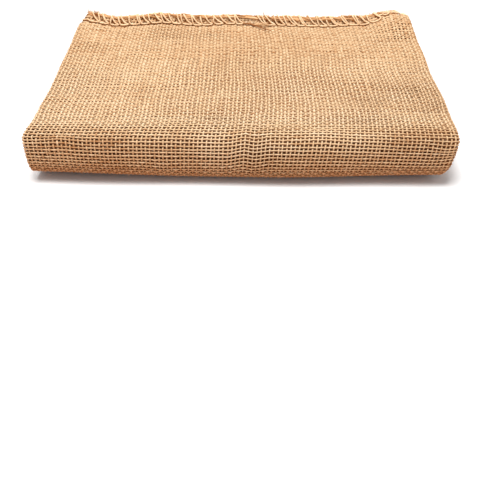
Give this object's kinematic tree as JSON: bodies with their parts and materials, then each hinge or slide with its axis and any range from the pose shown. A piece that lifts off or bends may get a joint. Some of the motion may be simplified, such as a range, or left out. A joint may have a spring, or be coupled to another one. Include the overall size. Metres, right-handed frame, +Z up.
{
  "type": "folded jute sack",
  "caption": "Empty jute sack of coarse plain weave, doubled across and folded flat, with its twine-sewn edge standing up along the back of the top.",
  "frame": {"origin": "middle of the underside of the whole folded sack, on the surface it rests on", "axes": "+X along the front fold towards the widthwise fold, -Y out of the front fold that faces the viewer, +Y towards the sewn edge, +Z up"},
  "size_m": [0.3092, 0.2086, 0.0501],
  "materials": {
    "jute_cloth": "coarse open plain weave of undyed jute yarn, matt, with thick and thin places and stray fibres",
    "jute_twine": "hairy undyed jute sewing twine, matt"
  },
  "bodies": {
    "root": {"sack_cloth": "jute_cloth", "seam_twine_left": "jute_twine", "seam_twine_right": "jute_twine"}
  },
  "joints": []
}
